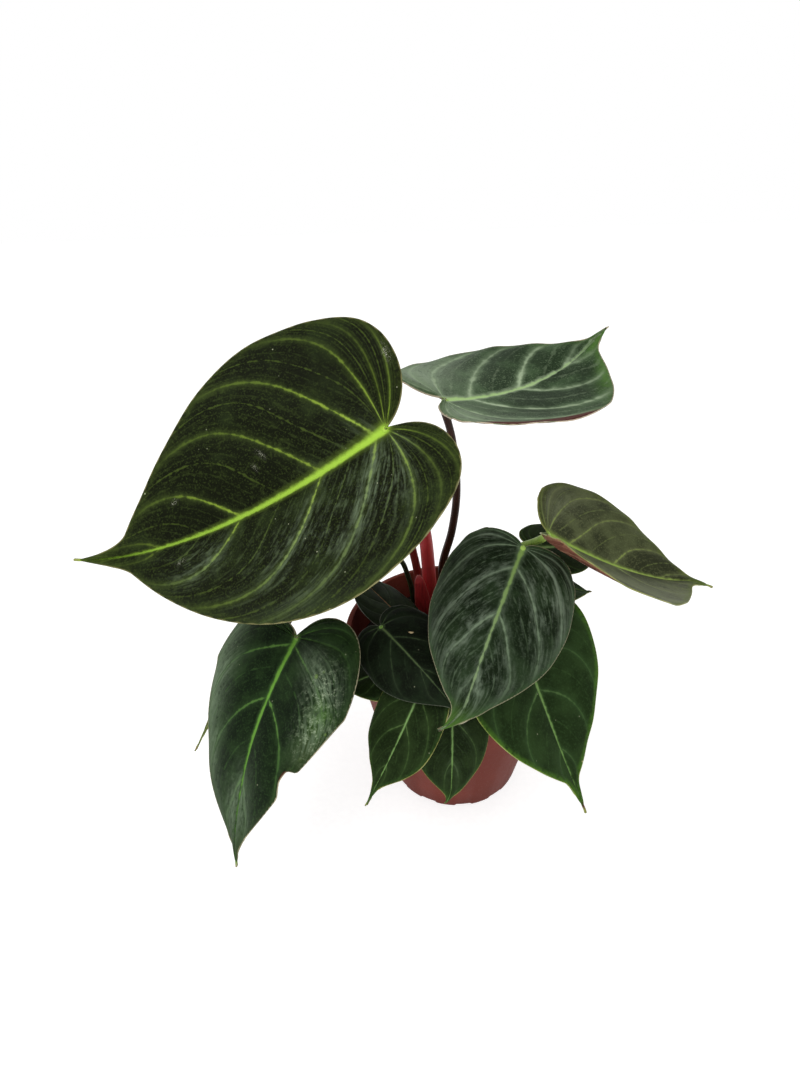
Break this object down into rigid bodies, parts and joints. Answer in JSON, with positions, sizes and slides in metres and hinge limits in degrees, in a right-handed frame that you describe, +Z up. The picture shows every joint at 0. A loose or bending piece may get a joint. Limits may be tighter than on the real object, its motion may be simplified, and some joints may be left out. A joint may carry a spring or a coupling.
{
  "type": "potted philodendron",
  "caption": "Young velvet-leaved philodendron with dark heart-shaped leaves and red sheaths, growing in a round terracotta-coloured nursery pot.",
  "frame": {"origin": "middle of the pot's foot, on the surface that it stands on", "axes": "+Z up along the pot; the picture looks along +Y, down from the -Y side; the large left leaf points along -X"},
  "size_m": [0.3162, 0.1917, 0.2572],
  "materials": {
    "pot_plastic": "moulded terracotta-red plastic, matte",
    "potting_soil": "dark bark and peat mix, loose and dry",
    "stem_brown": "woody brown crown of the vine",
    "sheath_crimson": "thin crimson leaf sheath, satin",
    "petiole_maroon": "maroon-brown leaf stalk, satin",
    "petiole_lime": "lime green leaf stalk, satin",
    "petiole_green": "dark green leaf stalk, satin",
    "blade_dark_olive": "velvety dark olive leaf with lime midrib",
    "blade_silver_green": "velvety grey-green leaf with a silvery sheen and lime midrib",
    "blade_grey_green": "velvety olive grey-green leaf with lime veins and a maroon underside",
    "blade_velvet_green": "velvety dark bluish-green leaf with silvery veins and lime midrib",
    "blade_mid_green": "velvety mid-green leaf with pale veins",
    "blade_night_green": "velvety near-black green leaf with a grey margin"
  },
  "bodies": {
    "root": {"pot": "pot_plastic", "soil": "potting_soil", "stem": "stem_brown", "new_leaf_spear": "petiole_maroon", "sheath_tall_red": "sheath_crimson", "sheath_short_red": "sheath_crimson", "leaf_large_left_blade": "blade_dark_olive", "leaf_large_left_petiole": "petiole_maroon", "leaf_upper_right_blade": "blade_silver_green", "leaf_upper_right_petiole": "petiole_maroon", "leaf_right_folded_blade": "blade_grey_green", "leaf_right_folded_petiole": "petiole_lime", "leaf_front_centre_blade": "blade_velvet_green", "leaf_front_centre_petiole": "petiole_lime", "leaf_front_right_blade": "blade_mid_green", "leaf_front_right_petiole": "petiole_green", "leaf_left_hanging_blade": "blade_velvet_green", "leaf_left_hanging_petiole": "petiole_green", "leaf_far_left_blade": "blade_night_green", "leaf_far_left_petiole": "petiole_green", "leaf_low_front_left_blade": "blade_mid_green", "leaf_low_front_left_petiole": "petiole_green", "leaf_low_front_centre_blade": "blade_mid_green", "leaf_low_front_centre_petiole": "petiole_green", "leaf_centre_dark_blade": "blade_night_green", "leaf_centre_dark_petiole": "petiole_green", "leaf_inner_left_blade": "blade_night_green", "leaf_inner_left_petiole": "petiole_green", "leaf_back_right_blade": "blade_night_green", "leaf_back_right_petiole": "petiole_green", "leaf_rim_right_blade": "blade_mid_green", "leaf_rim_right_petiole": "petiole_green", "leaf_rim_left_blade": "blade_mid_green", "leaf_rim_left_petiole": "petiole_green"}
  },
  "joints": []
}
